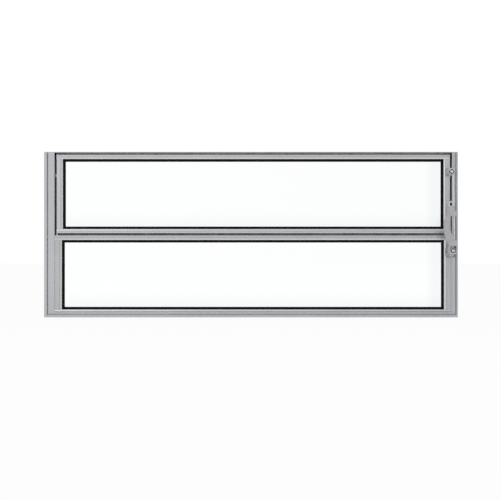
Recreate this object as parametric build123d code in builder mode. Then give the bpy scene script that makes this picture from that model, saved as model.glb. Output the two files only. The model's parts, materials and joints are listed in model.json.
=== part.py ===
from build123d import *
import os
from math import cos, radians, sin

os.makedirs("parts", exist_ok=True)

# Axes: X runs along the window, Y points out of the building, Z is up.
# The origin is the centre of the sill's underside.

# Outer frame
window_width = 1000.0
window_height = 400.0
frame_depth = 45.0
frame_wall = 1.5
flange_step = 2.5
groove_depth = 6.0
edge_radius = 0.5
gap_edge_radius = 1.2
left_jamb_face = 25.0
left_flange_face = 7.0
left_groove = 2.4
right_jamb_face = 14.0
right_flange_face = 3.6
right_groove = 2.5
sill_height = 12.4
sill_flange_face = 6.0
sill_groove = 2.3
sill_fall = 4.0
seal_channel = 1.5
seal_width = 30.0
seal_setback = 3.0
head_web = 1.5
head_stop_height = 16.0
head_seal_thickness = 2.0
head_seal_drop = 13.0

# Opening sash and fixed light sections
light_depth = 18.0
light_wall = 1.4
bead_face = 5.0
bead_leg = 6.5
bead_slope = 1.2
bead_joint = 0.4
stile_face = 15.0
rail_face = 10.0
transom_height = 11.0
transom_top = 198.0
transom_depth = 12.6
fixed_left_face = 17.5
fixed_right_face = 19.0
fixed_base = 1.4
fixed_left_line = 1.1
fixed_right_line = 2.3
fixed_line = 1.5
fixed_line_depth = 0.8
sash_side_gap = 5.0
sash_bottom_gap = 5.5
sash_top_gap = 5.7
sash_stop_gap = 5.0
drip_overlap = 0.5
drip_thickness = 1.4

# Glass and gaskets
glass_thickness = 4.0
glass_edge_gap = 1.5
gasket_foot = 4.0
gasket_lip = 6.0
gasket_thickness = 2.5
gasket_bevel = 3.5
gasket_bevel_depth = 1.5
rear_gasket_lip = 3.0
gasket_corner_gap = 0.2

# Pivot of the sash
pivot_drop = 49.6
pivot_offset = 0.5
pivot_pin_diameter = 6.0
pivot_collar_diameter = 10.0
pivot_collar = 1.2
bush_diameter = 10.0
bush_length = 5.0
bush_flange_diameter = 14.0
bush_flange = 1.0
pin_clearance = 0.05

# Lever gear on the right jamb: crank, rod and lever make a parallelogram
link_inset = 5.0
crank_length = 30.0
crank_angle = 15.0
crank_ear = 3.0
crank_ear_gap = 0.5
crank_ear_radius = 7.0
crank_base_height = 20.0
base_plate = 2.0
base_corner_radius = 2.0
lever_pivot_drop = 44.8
lever_pivot_reach = 14.0
link_pin_diameter = 5.0
pin_head = 1.5
pin_head_diameter = 9.0
pin_end_play = 0.3
knuckle_radius = 9.5
knuckle_width = 13.0
rod_diameter = 4.5
rod_offset = 4.0
rod_seat = 7.0
bracket_base_width = 23.0
bracket_base_height = 20.0
bracket_base_rise = 4.8
bracket_ear = 12.0
bracket_ear_radius = 8.0
cheek_thickness = 2.5
cheek_gap = 0.5
cheek_link_radius = 7.0

# Hand lever, seen from the front: insets from the rod's plane, rises above the link pin
handle_offset = 7.0
handle_thickness = 3.0
handle_edge_bevel = 0.7
handle_corner_radius = 2.0
foot_clearance = 1.5
foot_height = 11.6
stem_inset = 22.6
stem_width = 15.7
stem_rise = 54.0
shoulder_rise = 73.0
tab_inset = 15.8
tab_length = 26.6
tab_rise = 82.6
tab_height = 11.8
eye_inset = 5.3
eye_rise = 110.6
eye_radius = 8.0
eye_hole_diameter = 8.0

# Levels that follow from the sizes above
flange_front = -frame_depth / 2
frame_back = frame_depth / 2
face_front = flange_front + flange_step
groove_floor = face_front + groove_depth
light_back = face_front + light_depth
seal_front = face_front + seal_setback
left_inner = -window_width / 2 + left_jamb_face
right_inner = window_width / 2 - right_jamb_face
opening_width = right_inner - left_inner
transom_bottom = transom_top - transom_height
transom_rebate = transom_bottom + bead_face
head_bottom = window_height - head_web
sash_left = left_inner + sash_side_gap
sash_right = right_inner - sash_side_gap
sash_bottom = transom_top + sash_bottom_gap
sash_top = head_bottom - sash_top_gap
stop_front = light_back + sash_stop_gap + head_seal_thickness
glass_front = face_front + bead_leg + gasket_thickness
glass_back = glass_front + glass_thickness
rear_gasket_back = light_back - light_wall
stile_box = stile_face - bead_face
rail_box = rail_face - bead_face
pivot_y = (face_front + light_back) / 2 + pivot_offset
pivot_z = sash_top - pivot_drop
pivot_bore = pivot_pin_diameter + 2 * pin_clearance
bush_bore = bush_diameter + 2 * pin_clearance
link_bore = link_pin_diameter + 2 * pin_clearance

# Pin axes of the gear
crank_reach = crank_length * cos(radians(crank_angle))
crank_rise = crank_length * sin(radians(crank_angle))
crank_pin_y = pivot_y - crank_reach
crank_pin_z = pivot_z + crank_rise
lever_y = face_front - lever_pivot_reach
lever_z = transom_top - lever_pivot_drop
link_pin_y = lever_y - crank_reach
link_pin_z = lever_z + crank_rise
link_x = right_inner - link_inset
knuckle_left = link_x - knuckle_width / 2
knuckle_right = link_x + knuckle_width / 2
cheek_left = knuckle_left - cheek_gap - cheek_thickness
cheek_right = knuckle_right + cheek_gap + cheek_thickness


def span(first, second, low, high, mode=Mode.ADD):
    """Rectangle between two corners, drawn in the open sketch."""
    with Locations(((first + second) / 2, (low + high) / 2)):
        Rectangle(abs(second - first), abs(high - low), mode=mode)


def x_pin(first, second, y, z, diameter, mode=Mode.ADD):
    """Round bar along X between two ends, drawn in the open part."""
    with Locations(Location(((first + second) / 2, y, z), (0, 90, 0))):
        Cylinder(diameter / 2, abs(second - first), mode=mode)


def jamb(side, face, flange_face, groove):
    """Hollow jamb: wall flange, groove, front face and a seal channel in its inner wall."""
    outer = side * window_width / 2
    fin_root = outer - side * (flange_face - frame_wall)
    fin_edge = outer - side * flange_face
    face_edge = outer - side * (flange_face + groove)
    inner = outer - side * face
    chamber_outer = outer - side * frame_wall
    chamber_inner = inner + side * (frame_wall + seal_channel)
    chamber_front = groove_floor + frame_wall
    with BuildPart() as piece:
        with BuildSketch(Plane.XY) as section:
            with BuildLine():
                Polyline(
                    (outer, flange_front),
                    (fin_edge, flange_front),
                    (fin_edge, groove_floor),
                    (face_edge, groove_floor),
                    (face_edge, face_front),
                    (inner, face_front),
                    (inner, frame_back),
                    (outer, frame_back),
                    (outer, groove_floor),
                    (fin_root, groove_floor),
                    (fin_root, flange_front + frame_wall),
                    (outer, flange_front + frame_wall),
                    close=True,
                )
            make_face()
            fillet(section.vertices().group_by(Axis.Y)[0], radius=edge_radius)
            fillet(section.vertices().sort_by_distance((face_edge, face_front))[0], radius=edge_radius)
            fillet(section.vertices().sort_by_distance((inner, face_front))[0], radius=gap_edge_radius)
            span(chamber_outer, chamber_inner, chamber_front, frame_back - frame_wall, Mode.SUBTRACT)
            face_chamber = face_edge - side * frame_wall
            span(face_chamber, chamber_inner, face_front + frame_wall, chamber_front, Mode.SUBTRACT)
            span(inner, inner + side * seal_channel, seal_front, seal_front + seal_width, Mode.SUBTRACT)
        extrude(amount=window_height)
        with BuildSketch(Plane.XZ):
            with BuildLine():
                Polyline(
                    (outer, 0),
                    (face_edge, sill_flange_face + sill_groove),
                    (face_edge, sill_height),
                    (inner, sill_height),
                    (inner, 0),
                    close=True,
                )
            make_face()
        extrude(amount=frame_depth, both=True, mode=Mode.SUBTRACT)
        x_pin(inner, inner + side * bush_length, pivot_y, pivot_z, bush_bore, Mode.SUBTRACT)
    return piece


left_jamb = jamb(-1, left_jamb_face, left_flange_face, left_groove)
left_jamb.part.label = "left_jamb"
export_step(left_jamb.part, "parts/left_jamb.step")

right_jamb = jamb(1, right_jamb_face, right_flange_face, right_groove)
right_jamb.part.label = "right_jamb"
export_step(right_jamb.part, "parts/right_jamb.step")

# Sill: wall flange, groove and band in front, weathered top behind the fixed light, mitred ends
with BuildPart() as sill:
    with BuildSketch(Plane.YZ.offset(-window_width / 2)) as section:
        with BuildLine():
            Polyline(
                (flange_front, 0),
                (flange_front, sill_flange_face),
                (groove_floor, sill_flange_face),
                (groove_floor, sill_flange_face + sill_groove),
                (face_front, sill_flange_face + sill_groove),
                (face_front, sill_height),
                (light_back, sill_height),
                (frame_back, sill_height - sill_fall),
                (frame_back, 0),
                (groove_floor, 0),
                (groove_floor, sill_flange_face - frame_wall),
                (flange_front + frame_wall, sill_flange_face - frame_wall),
                (flange_front + frame_wall, 0),
                close=True,
            )
        make_face()
        fillet(section.vertices().group_by(Axis.X)[0], radius=edge_radius)
        fillet(section.vertices().filter_by_position(Axis.X, face_front, face_front), radius=edge_radius)
        with BuildLine():
            Polyline(
                (groove_floor + frame_wall, frame_wall),
                (groove_floor + frame_wall, sill_height - frame_wall),
                (light_back, sill_height - frame_wall),
                (frame_back - frame_wall, sill_height - sill_fall - frame_wall),
                (frame_back - frame_wall, frame_wall),
                close=True,
            )
        make_face(mode=Mode.SUBTRACT)
    extrude(amount=window_width)
    with BuildSketch(Plane.XZ):
        for side, edge in ((-1, left_flange_face + left_groove), (1, right_flange_face + right_groove)):
            with BuildLine():
                Polyline(
                    (side * window_width / 2, 0),
                    (side * (window_width / 2 - edge), sill_flange_face + sill_groove),
                    (side * (window_width / 2 - edge), sill_height),
                    (side * window_width / 2, sill_height),
                    close=True,
                )
            make_face()
    extrude(amount=frame_depth, both=True, mode=Mode.SUBTRACT)
sill.part.label = "sill"
export_step(sill.part, "parts/sill.step")

# Head: thin web over the sash, hollow stop behind it
with BuildPart() as head:
    stop_bottom = window_height - head_stop_height
    with BuildSketch(Plane.YZ.offset(left_inner)):
        span(face_front, frame_back, head_bottom, window_height)
        span(stop_front, frame_back, stop_bottom, window_height)
        span(
            stop_front + frame_wall,
            frame_back - frame_wall,
            stop_bottom + frame_wall,
            window_height - frame_wall,
            Mode.SUBTRACT,
        )
    extrude(amount=opening_width)
head.part.label = "head"
export_step(head.part, "parts/head.step")

with BuildPart() as head_seal:
    with BuildSketch(Plane.YZ.offset(left_inner)):
        span(stop_front - head_seal_thickness, stop_front, head_bottom - head_seal_drop, head_bottom)
    extrude(amount=opening_width)
head_seal.part.label = "head_seal"
export_step(head_seal.part, "parts/head_seal.step")

# Transom: hollow bar over a downward glazing rebate
with BuildPart() as transom:
    bar_back = face_front + transom_depth
    with BuildSketch(Plane.YZ.offset(left_inner)) as section:
        span(face_front, bar_back, transom_rebate, transom_top)
        span(face_front, light_back, transom_rebate, transom_rebate + light_wall)
        span(light_back - light_wall, light_back, transom_bottom, transom_rebate)
        fillet(section.vertices().group_by(Axis.X)[0], radius=edge_radius)
        span(
            face_front + light_wall,
            bar_back - light_wall,
            transom_rebate + light_wall,
            transom_top - light_wall,
            Mode.SUBTRACT,
        )
    extrude(amount=opening_width)
transom.part.label = "transom"
export_step(transom.part, "parts/transom.step")

# Black seals in the channels of the jambs, and flanged bushes for the sash pivots
for hand, side, inner in (("left", -1, left_inner), ("right", 1, right_inner)):
    with BuildPart() as jamb_seal:
        with BuildSketch(Plane.XY.offset(transom_top)):
            span(inner, inner + side * seal_channel, seal_front, seal_front + seal_width)
        extrude(amount=head_bottom - transom_top)
        x_pin(inner, inner + side * bush_length, pivot_y, pivot_z, bush_bore, Mode.SUBTRACT)
    jamb_seal.part.label = f"{hand}_jamb_seal"
    export_step(jamb_seal.part, f"parts/{hand}_jamb_seal.step")

    with BuildPart() as pivot_bush:
        x_pin(inner, inner + side * bush_length, pivot_y, pivot_z, bush_diameter)
        x_pin(inner, inner - side * bush_flange, pivot_y, pivot_z, bush_flange_diameter)
        flange_face = inner - side * bush_flange
        x_pin(flange_face, inner + side * bush_length, pivot_y, pivot_z, pivot_bore, Mode.SUBTRACT)
    pivot_bush.part.label = f"{hand}_pivot_bush"
    export_step(pivot_bush.part, f"parts/{hand}_pivot_bush.step")


def stile(outer, inward, face, bottom, top, outer_radius, line_inset=0.0, pin_bore=0.0):
    """Upright: hollow box with a rear glazing leg, a fine line on its face and a pin bore where asked."""
    box_edge = outer + inward * (face - bead_face)
    with BuildPart() as piece:
        with BuildSketch(Plane.XY.offset(bottom)) as section:
            span(outer, box_edge, face_front, light_back)
            span(box_edge, outer + inward * face, light_back - light_wall, light_back)
            fillet(section.vertices().sort_by_distance((box_edge, face_front))[0], radius=edge_radius)
            fillet(section.vertices().sort_by_distance((outer, face_front))[0], radius=outer_radius)
            span(
                outer + inward * light_wall,
                box_edge - inward * light_wall,
                face_front + light_wall,
                light_back - light_wall,
                Mode.SUBTRACT,
            )
            if line_inset:
                near = outer + inward * line_inset
                far = near + inward * fixed_line
                span(near, far, face_front, face_front + fixed_line_depth, Mode.SUBTRACT)
        extrude(amount=top - bottom)
        if pin_bore:
            x_pin(outer, box_edge, pivot_y, pivot_z, pin_bore, Mode.SUBTRACT)
    return piece


def rail(outer, inward, left, right, drip_foot=None):
    """Crosspiece: hollow box with a rear glazing leg, and a drip lip down to a given level where asked."""
    box_edge = outer + inward * rail_box
    with BuildPart() as piece:
        with BuildSketch(Plane.YZ.offset(left)) as section:
            span(face_front, light_back, outer, box_edge)
            span(light_back - light_wall, light_back, box_edge, outer + inward * rail_face)
            fillet(section.vertices().group_by(Axis.X)[0], radius=edge_radius)
            span(
                face_front + light_wall,
                light_back - light_wall,
                outer + inward * light_wall,
                box_edge - inward * light_wall,
                Mode.SUBTRACT,
            )
            if drip_foot is not None:
                span(light_back, light_back + drip_thickness, drip_foot, box_edge)
        extrude(amount=right - left)
    return piece


def bead_outline(edge, inward):
    """Snap-in bead as points across the face and in depth: two legs and a front that slopes to the glass."""
    near = edge + inward * bead_joint
    far = edge + inward * bead_face
    leg_end = face_front + bead_leg
    return (
        (near, face_front),
        (far, face_front + bead_slope),
        (far, leg_end),
        (far - inward * light_wall, leg_end),
        (far - inward * light_wall, face_front + bead_slope + light_wall),
        (near + inward * light_wall, face_front + light_wall),
        (near + inward * light_wall, leg_end),
        (near, leg_end),
    )


def light_beads(group, edges, left, right, bottom, top):
    """Four beads of one light, at the rebate edges given as left, right, bottom and top."""
    left_edge, right_edge, bottom_edge, top_edge = edges
    for hand, edge, inward in (("left", left_edge, 1), ("right", right_edge, -1)):
        with BuildPart() as bead:
            with BuildSketch(Plane.XY.offset(bottom)) as section:
                with BuildLine():
                    Polyline(*bead_outline(edge, inward), close=True)
                make_face()
                corners = section.vertices().group_by(Axis.Y)
                fillet(corners[0] + corners[1], radius=edge_radius)
            extrude(amount=top - bottom)
        bead.part.label = f"{group}_bead_{hand}"
        export_step(bead.part, f"parts/{group}_bead_{hand}.step")
    for hand, edge, inward in (("bottom", bottom_edge, 1), ("top", top_edge, -1)):
        with BuildPart() as bead:
            with BuildSketch(Plane.YZ.offset(left)) as section:
                with BuildLine():
                    Polyline(*[(depth, across) for across, depth in bead_outline(edge, inward)], close=True)
                make_face()
                corners = section.vertices().group_by(Axis.X)
                fillet(corners[0] + corners[1], radius=edge_radius)
            extrude(amount=right - left)
        bead.part.label = f"{group}_bead_{hand}"
        export_step(bead.part, f"parts/{group}_bead_{hand}.step")


def gasket_strips(strip, left, right, bottom, top):
    """Four strips round the pane, the long ones above and below, drawn in the open sketch."""
    inset = bead_face - gasket_foot
    reach = inset + strip + gasket_corner_gap
    for low in (bottom + inset, top - inset - strip):
        span(left + inset, right - inset, low, low + strip)
    for low in (left + inset, right - inset - strip):
        span(low, low + strip, bottom + reach, top - reach)


def light_glazing(group, left, right, bottom, top):
    """Pane with its front and rear gasket strips, inside the four rebate edges."""
    width = right - left
    height = top - bottom
    centre = ((left + right) / 2, (bottom + top) / 2)
    with BuildPart() as pane:
        with BuildSketch(Plane.XZ.offset(-glass_front)):
            with Locations(centre):
                Rectangle(width - 2 * glass_edge_gap, height - 2 * glass_edge_gap)
        extrude(amount=-glass_thickness)
    pane.part.label = f"{group}_glass"
    export_step(pane.part, f"parts/{group}_glass.step")

    # The front strips slope down to the glass round the clear view
    cover = 2 * (bead_face + gasket_lip)
    with BuildPart() as front_gasket:
        with BuildSketch(Plane.XZ.offset(-glass_front)):
            gasket_strips(gasket_foot + gasket_lip, left, right, bottom, top)
        extrude(amount=gasket_thickness)
        gasket_front = glass_front - gasket_thickness
        for level, spread in ((gasket_front, 2 * gasket_bevel), (gasket_front + gasket_bevel_depth, 0)):
            with BuildSketch(Plane.XZ.offset(-level)):
                with Locations(centre):
                    Rectangle(width - cover + spread, height - cover + spread)
        loft(mode=Mode.SUBTRACT)
    front_gasket.part.label = f"{group}_gasket_front"
    export_step(front_gasket.part, f"parts/{group}_gasket_front.step")

    with BuildPart() as rear_gasket:
        with BuildSketch(Plane.XZ.offset(-rear_gasket_back)):
            gasket_strips(gasket_foot + rear_gasket_lip, left, right, bottom, top)
        extrude(amount=rear_gasket_back - glass_back)
    rear_gasket.part.label = f"{group}_gasket_rear"
    export_step(rear_gasket.part, f"parts/{group}_gasket_rear.step")


# Fixed lower light
fixed_floor = sill_height + fixed_base
fixed_bead_line = fixed_floor + bead_face
fixed_left_edge = left_inner + fixed_left_face - bead_face
fixed_right_edge = right_inner - fixed_right_face + bead_face

fixed_left_stile = stile(
    left_inner, 1, fixed_left_face, fixed_bead_line, transom_bottom, edge_radius, fixed_left_line
)
fixed_left_stile.part.label = "fixed_left_stile"
export_step(fixed_left_stile.part, "parts/fixed_left_stile.step")

fixed_right_stile = stile(
    right_inner, -1, fixed_right_face, fixed_bead_line, transom_bottom, edge_radius, fixed_right_line
)
fixed_right_stile.part.label = "fixed_right_stile"
export_step(fixed_right_stile.part, "parts/fixed_right_stile.step")

with BuildPart() as fixed_bottom_rail:
    with BuildSketch(Plane.YZ.offset(left_inner)) as section:
        span(face_front, light_back, sill_height, fixed_floor)
        span(light_back - light_wall, light_back, fixed_floor, fixed_bead_line)
        fillet(section.vertices().group_by(Axis.X)[0], radius=edge_radius)
    extrude(amount=opening_width)
fixed_bottom_rail.part.label = "fixed_bottom_rail"
export_step(fixed_bottom_rail.part, "parts/fixed_bottom_rail.step")

fixed_edges = (fixed_left_edge, fixed_right_edge, fixed_floor, transom_rebate)
light_beads("fixed", fixed_edges, left_inner, right_inner, fixed_bead_line, transom_bottom)
light_glazing("fixed", *fixed_edges)

# Opening upper sash; its bottom rail carries a drip lip that laps behind the transom
stile_bottom = sash_bottom + rail_face
stile_top = sash_top - rail_face

sash_left_stile = stile(
    sash_left, 1, stile_face, stile_bottom, stile_top, gap_edge_radius, pin_bore=pivot_bore
)
sash_left_stile.part.label = "sash_left_stile"
export_step(sash_left_stile.part, "parts/sash_left_stile.step")

sash_right_stile = stile(
    sash_right, -1, stile_face, stile_bottom, stile_top, gap_edge_radius, pin_bore=pivot_bore
)
sash_right_stile.part.label = "sash_right_stile"
export_step(sash_right_stile.part, "parts/sash_right_stile.step")

sash_top_rail = rail(sash_top, -1, sash_left, sash_right)
sash_top_rail.part.label = "sash_top_rail"
export_step(sash_top_rail.part, "parts/sash_top_rail.step")

sash_bottom_rail = rail(sash_bottom, 1, sash_left, sash_right, drip_foot=transom_top - drip_overlap)
sash_bottom_rail.part.label = "sash_bottom_rail"
export_step(sash_bottom_rail.part, "parts/sash_bottom_rail.step")

sash_edges = (sash_left + stile_box, sash_right - stile_box, sash_bottom + rail_box, sash_top - rail_box)
light_beads("sash", sash_edges, sash_left, sash_right, stile_bottom, stile_top)
light_glazing("sash", *sash_edges)

# Pivot pins: collar on the stile, shaft through the stile box and into the bush
for hand, outer, inward in (("left", sash_left, 1), ("right", sash_right, -1)):
    with BuildPart() as pivot_pin:
        tip = outer - inward * (sash_side_gap + bush_length)
        x_pin(outer + inward * stile_box, tip, pivot_y, pivot_z, pivot_pin_diameter)
        x_pin(outer, outer - inward * pivot_collar, pivot_y, pivot_z, pivot_collar_diameter)
    pivot_pin.part.label = f"{hand}_pivot_pin"
    export_step(pivot_pin.part, f"parts/{hand}_pivot_pin.step")


def pin_ear(base_low, base_high, y, z, radius):
    """Side view of an ear that narrows from its base plate to a round end about a pin, in the open sketch."""
    plate_front = face_front - base_plate
    span(plate_front - base_plate, plate_front, base_low, base_high)
    with Locations((y, z)):
        Circle(radius)
    make_hull()


def riveted_pin(left, right, y, z, diameter):
    """Shaft from left to right with a head beyond each end."""
    with BuildPart() as piece:
        x_pin(left, right, y, z, diameter)
        x_pin(left - pin_head, left, y, z, pin_head_diameter)
        x_pin(right, right + pin_head, y, z, pin_head_diameter)
    return piece


# Crank on the front of the right stile
ear_right = knuckle_left - crank_ear_gap
ear_left = ear_right - crank_ear
with BuildPart() as sash_crank:
    with BuildSketch(Plane.XZ.offset(-face_front)):
        with Locations((sash_right - stile_box / 2, crank_pin_z)):
            RectangleRounded(stile_box, crank_base_height, base_corner_radius)
    extrude(amount=base_plate)
    with BuildSketch(Plane.YZ.offset(ear_left)):
        ear_half = crank_base_height / 2 - base_corner_radius
        pin_ear(crank_pin_z - ear_half, crank_pin_z + ear_half, crank_pin_y, crank_pin_z, crank_ear_radius)
    extrude(amount=crank_ear)
    x_pin(ear_left, ear_right, crank_pin_y, crank_pin_z, link_bore, Mode.SUBTRACT)
sash_crank.part.label = "sash_crank"
export_step(sash_crank.part, "parts/sash_crank.step")

crank_pin = riveted_pin(ear_left, knuckle_right + pin_end_play, crank_pin_y, crank_pin_z, link_pin_diameter)
crank_pin.part.label = "crank_pin"
export_step(crank_pin.part, "parts/crank_pin.step")

# Link rod between two barrel knuckles, each with a flat seat for the rod's end
rod_run = Vector(0, link_pin_y - crank_pin_y, link_pin_z - crank_pin_z)
rod_plane = Plane(origin=(link_x + rod_offset, crank_pin_y, crank_pin_z), x_dir=(1, 0, 0), z_dir=rod_run)

with BuildPart() as link_rod:
    with BuildSketch(rod_plane.offset(rod_seat)):
        Circle(rod_diameter / 2)
    extrude(amount=rod_run.length - 2 * rod_seat)
link_rod.part.label = "link_rod"
export_step(link_rod.part, "parts/link_rod.step")

knuckle_places = (
    ("link_top_knuckle", crank_pin_y, crank_pin_z, rod_plane.offset(rod_seat), 1),
    ("link_bottom_knuckle", link_pin_y, link_pin_z, rod_plane.offset(rod_run.length - rod_seat), -1),
)
for name, y, z, seat_plane, outward in knuckle_places:
    with BuildPart() as knuckle:
        x_pin(knuckle_left, knuckle_right, y, z, 2 * knuckle_radius)
        x_pin(knuckle_left, knuckle_right, y, z, link_bore, Mode.SUBTRACT)
        with BuildSketch(seat_plane):
            Rectangle(2 * knuckle_width, 2 * knuckle_radius)
        extrude(amount=outward * knuckle_radius, mode=Mode.SUBTRACT)
    knuckle.part.label = name
    export_step(knuckle.part, f"parts/{name}.step")

# Lever bracket on the front of the jamb and the fixed stile
with BuildPart() as lever_bracket:
    base_z = lever_z + bracket_base_rise
    with BuildSketch(Plane.XZ.offset(-face_front)):
        with Locations((link_x, base_z)):
            RectangleRounded(bracket_base_width, bracket_base_height, base_corner_radius)
    extrude(amount=base_plate)
    with BuildSketch(Plane.YZ.offset(link_x - bracket_ear / 2)):
        ear_half = bracket_base_height / 2 - base_corner_radius
        pin_ear(base_z - ear_half, base_z + ear_half, lever_y, lever_z, bracket_ear_radius)
    extrude(amount=bracket_ear)
    x_pin(link_x - bracket_ear / 2, link_x + bracket_ear / 2, lever_y, lever_z, pivot_bore, Mode.SUBTRACT)
lever_bracket.part.label = "lever_bracket"
export_step(lever_bracket.part, "parts/lever_bracket.step")

lever_bracket_pin = riveted_pin(
    cheek_left - pin_end_play, cheek_right + pin_end_play, lever_y, lever_z, pivot_pin_diameter
)
lever_bracket_pin.part.label = "lever_bracket_pin"
export_step(lever_bracket_pin.part, "parts/lever_bracket_pin.step")

# Lever: two cheeks round the bracket and the lower knuckle carry a handle plate in front
handle_back = link_pin_y - handle_offset
foot_bottom = link_pin_z + knuckle_radius + foot_clearance
foot_top = foot_bottom + foot_height

for hand, left in (("left", cheek_left), ("right", cheek_right - cheek_thickness)):
    with BuildPart() as cheek:
        with BuildSketch(Plane.YZ.offset(left)):
            with Locations((lever_y, lever_z)):
                Circle(bracket_ear_radius)
            with Locations((link_pin_y, link_pin_z)):
                Circle(cheek_link_radius)
            span(handle_back, handle_back + handle_thickness, foot_bottom, foot_top)
            make_hull()
        extrude(amount=cheek_thickness)
        x_pin(left, left + cheek_thickness, lever_y, lever_z, pivot_bore, Mode.SUBTRACT)
        x_pin(left, left + cheek_thickness, link_pin_y, link_pin_z, link_bore, Mode.SUBTRACT)
    cheek.part.label = f"lever_{hand}_cheek"
    export_step(cheek.part, f"parts/lever_{hand}_cheek.step")

lever_link_pin = riveted_pin(cheek_left, cheek_right, link_pin_y, link_pin_z, link_pin_diameter)
lever_link_pin.part.label = "lever_link_pin"
export_step(lever_link_pin.part, "parts/lever_link_pin.step")

stem_left = link_x - stem_inset
stem_right = stem_left + stem_width
stem_foot = link_pin_z + stem_rise
tab_left = link_x - tab_inset
tab_right = tab_left + tab_length
tab_bottom = link_pin_z + tab_rise
tab_top = tab_bottom + tab_height
eye_x = link_x - eye_inset
eye_z = link_pin_z + eye_rise
with BuildPart() as lever_handle:
    with BuildSketch(Plane.XZ.offset(-handle_back)) as outline:
        with BuildLine():
            Polyline(
                (stem_right, stem_foot),
                (stem_right, tab_bottom),
                (tab_right, tab_bottom),
                (tab_right, tab_top),
                (tab_left, tab_top),
                (tab_left, tab_bottom),
                (stem_left, link_pin_z + shoulder_rise),
                (stem_left, stem_foot),
            )
            TangentArc((stem_left, stem_foot), (cheek_left, foot_bottom), tangent=(0, -1))
            Polyline((cheek_left, foot_bottom), (cheek_right, foot_bottom), (cheek_right, foot_top))
            TangentArc((stem_right, stem_foot), (cheek_right, foot_top), tangent=(0, -1))
        make_face()
        fillet(outline.vertices().group_by(Axis.X)[-1], radius=handle_corner_radius)
        fillet(outline.vertices().sort_by_distance((stem_right, tab_bottom))[0], radius=handle_corner_radius)
        span(eye_x - eye_radius, eye_x + eye_radius, tab_top, eye_z)
        with Locations((eye_x, eye_z)):
            Circle(eye_radius)
            Circle(eye_hole_diameter / 2, mode=Mode.SUBTRACT)
    extrude(amount=handle_thickness)
    rim = lever_handle.faces().sort_by(Axis.Y)[0].outer_wire().edges()
    chamfer(rim, length=handle_edge_bevel)
lever_handle.part.label = "lever_handle"
export_step(lever_handle.part, "parts/lever_handle.step")
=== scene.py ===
import json
import math

import bpy
import numpy as np
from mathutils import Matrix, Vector


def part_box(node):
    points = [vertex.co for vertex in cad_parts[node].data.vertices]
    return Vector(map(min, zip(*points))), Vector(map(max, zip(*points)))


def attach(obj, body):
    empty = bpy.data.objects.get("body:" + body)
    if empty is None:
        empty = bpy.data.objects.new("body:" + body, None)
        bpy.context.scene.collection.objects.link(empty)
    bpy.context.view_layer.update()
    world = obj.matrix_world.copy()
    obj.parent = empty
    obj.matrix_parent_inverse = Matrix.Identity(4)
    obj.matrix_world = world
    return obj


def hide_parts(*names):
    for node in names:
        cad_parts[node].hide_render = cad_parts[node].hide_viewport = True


bl_info = {
    "name": "Pivot window",
    "version": (1, 0, 0),
    "blender": (4, 5, 0),
    "location": "3D View > Sidebar > Pivot window",
    "description": "Finishes an aluminium pivot window: extrusions, gear, gaskets, glass, screws and studio",
    "category": "Object",
}

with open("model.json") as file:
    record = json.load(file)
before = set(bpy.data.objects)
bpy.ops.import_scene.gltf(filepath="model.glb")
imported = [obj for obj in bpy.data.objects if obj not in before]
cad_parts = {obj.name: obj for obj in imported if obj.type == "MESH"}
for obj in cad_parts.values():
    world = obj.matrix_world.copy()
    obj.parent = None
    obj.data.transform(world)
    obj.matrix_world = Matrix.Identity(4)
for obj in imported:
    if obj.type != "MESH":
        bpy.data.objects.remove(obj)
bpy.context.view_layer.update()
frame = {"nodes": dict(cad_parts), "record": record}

# Pieces of the window that share a finish
UPRIGHT_FRAME = ("left_jamb", "right_jamb")
LEVEL_FRAME = ("head", "sill", "transom")
UPRIGHT_FIXED = ("fixed_left_stile", "fixed_right_stile")
LEVEL_FIXED = ("fixed_bottom_rail",)
UPRIGHT_SASH = ("sash_left_stile", "sash_right_stile")
LEVEL_SASH = ("sash_top_rail", "sash_bottom_rail")
UPRIGHT_BEADS = ("fixed_bead_left", "fixed_bead_right", "sash_bead_left", "sash_bead_right")
LEVEL_BEADS = ("fixed_bead_bottom", "fixed_bead_top", "sash_bead_bottom", "sash_bead_top")
CASTINGS = ("lever_bracket", "sash_crank", "lever_handle", "lever_left_cheek", "lever_right_cheek")
PIVOT_PINS = ("left_pivot_pin", "right_pivot_pin")
BUSHES = ("left_pivot_bush", "right_pivot_bush")
SEALS = ("left_jamb_seal", "right_jamb_seal")
PANES = ("fixed_glass", "sash_glass")

# Gasket strips with their bodies, and the side of the glass that each lies on
GASKETS = (
    ("fixed_gasket_front", "frame", -1),
    ("fixed_gasket_rear", "frame", 1),
    ("sash_gasket_front", "sash", -1),
    ("sash_gasket_rear", "sash", 1),
)
RIVETED_PINS = (("crank_pin", "sash"), ("lever_bracket_pin", "frame"), ("lever_link_pin", "lever"))

# Directions in the window's frame, and the record's millimetres in its metre
ALONG_WINDOW = (1, 0, 0)
INTO_ROOM = (0, -1, 0)
X_AXIS = 0
Z_AXIS = 2
MM_PER_M = 1000

# Fineness of the surfaces
BALL_SPOKES = 180
RING_SPOKES = 96
RIVET_SPOKES = 64
SCREW_SPOKES = 72
SCREW_RINGS = 36
ROUND_POINTS = 32
GASKET_POINTS = 61
BULB_POINTS = 33
BALL_POINTS = 65
BALL_RIM_POINTS = 5
DOME_POINTS = 13
FLOOR_POINTS = 9
SMOOTH_ANGLE = math.radians(40.0)

# Share of a noise's range that its colours and numbers run over
NOISE_LOW = 0.3
NOISE_HIGH = 0.7

# Half width and reach of a screw's cross as shares of the head's diameter, and the softness of its edges as a
# share of the half width
CROSS_ARM = 0.073
CROSS_REACH = 0.3125
CROSS_SOFTNESS = 0.6

# Depth of the cross as a share of the crown, the part of it lost over the reach and the part left at least
CROSS_DEPTH = 0.75
CROSS_FALL = 0.4
CROSS_LEAST = 0.2

# How far a screw's crown rounds off at its rim, where 1 is down to nothing
CROWN_ROUNDING = 0.92

# Share of a rivet head that is its straight rim
RIVET_RIM = 0.35

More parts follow.
